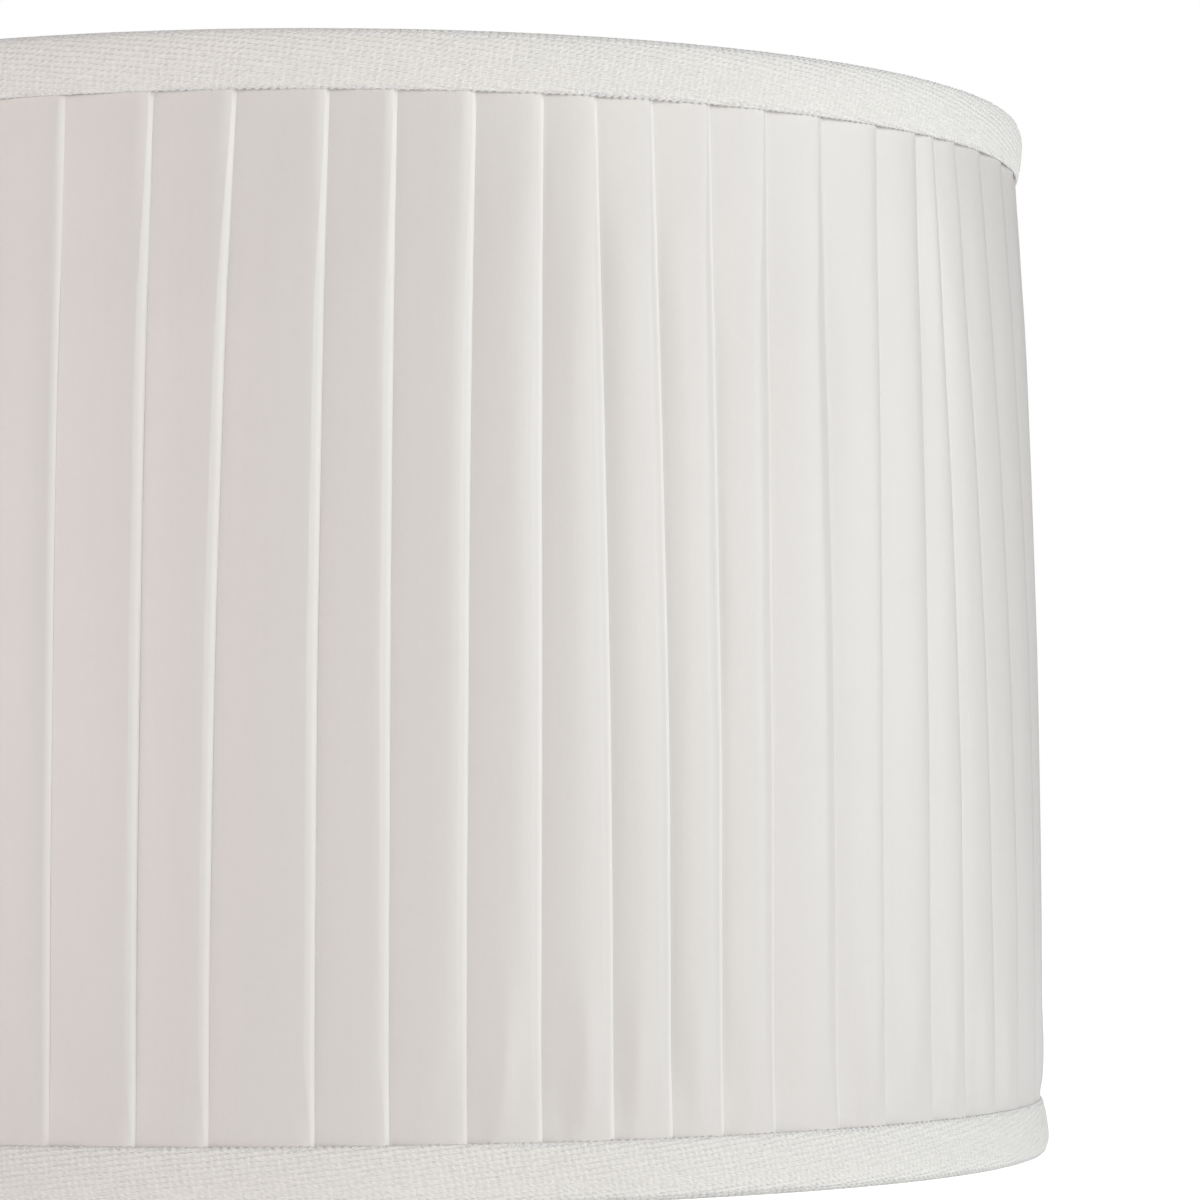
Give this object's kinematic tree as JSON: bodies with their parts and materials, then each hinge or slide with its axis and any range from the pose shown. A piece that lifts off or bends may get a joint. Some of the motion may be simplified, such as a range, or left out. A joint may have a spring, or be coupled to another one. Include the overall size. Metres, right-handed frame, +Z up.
{
  "type": "lamp shade",
  "caption": "Knife-pleated drum lamp shade with bound rims on a strutted wire frame, soft lined, carried by a tilting gimbal with a drop-in reducer ring.",
  "frame": {"origin": "centre of the bottom rim, on the surface the shade stands on", "axes": "+Z up the axis of the shade, from foot to head; the gimbal tilts about a line parallel to X; the front is -Y"},
  "size_m": [0.2978, 0.2978, 0.212],
  "materials": {
    "pleated_silk": "pale silk, soft sheen, knife pleats",
    "lining_cloth": "off-white satin lining, matt",
    "herringbone_tape": "cotton herringbone tape, matt woven",
    "painted_wire": "white powder coat, satin",
    "gimbal_steel": "zinc-plated strip, satin",
    "washer_nylon": "natural nylon, matt",
    "reducer_plastic": "white moulded plastic, satin"
  },
  "bodies": {
    "shade": {"pleated_cover": "pleated_silk", "lining": "lining_cloth", "top_tape": "herringbone_tape", "bottom_tape": "herringbone_tape", "top_ring": "painted_wire", "bottom_ring": "painted_wire", "strut_1": "painted_wire", "strut_2": "painted_wire", "strut_3": "painted_wire", "strut_4": "painted_wire", "strut_5": "painted_wire", "strut_6": "painted_wire", "strut_7": "painted_wire", "strut_8": "painted_wire", "hanger_right": "gimbal_steel", "hanger_left": "gimbal_steel", "neatener_right": "lining_cloth", "neatener_left": "lining_cloth", "pivot_rivet_right": "gimbal_steel", "pivot_rivet_left": "gimbal_steel"},
    "gimbal": {"pivot_washer_right": "washer_nylon", "pivot_washer_left": "washer_nylon", "gimbal_arm_right": "gimbal_steel", "gimbal_arm_left": "gimbal_steel", "carrier_ring": "gimbal_steel"},
    "reducer": {"reducer_ring": "reducer_plastic"}
  },
  "joints": [
    {"name": "gimbal_tilt", "type": "hinge", "parent": "shade", "child": "gimbal", "pos_m": [0, 0, 0.184], "axis": [1, 0, 0], "continuous": true},
    {"name": "reducer_lift", "type": "slide", "parent": "gimbal", "child": "reducer", "axis": [0, 0, 1], "range_m": [0, 0.04]}
  ]
}
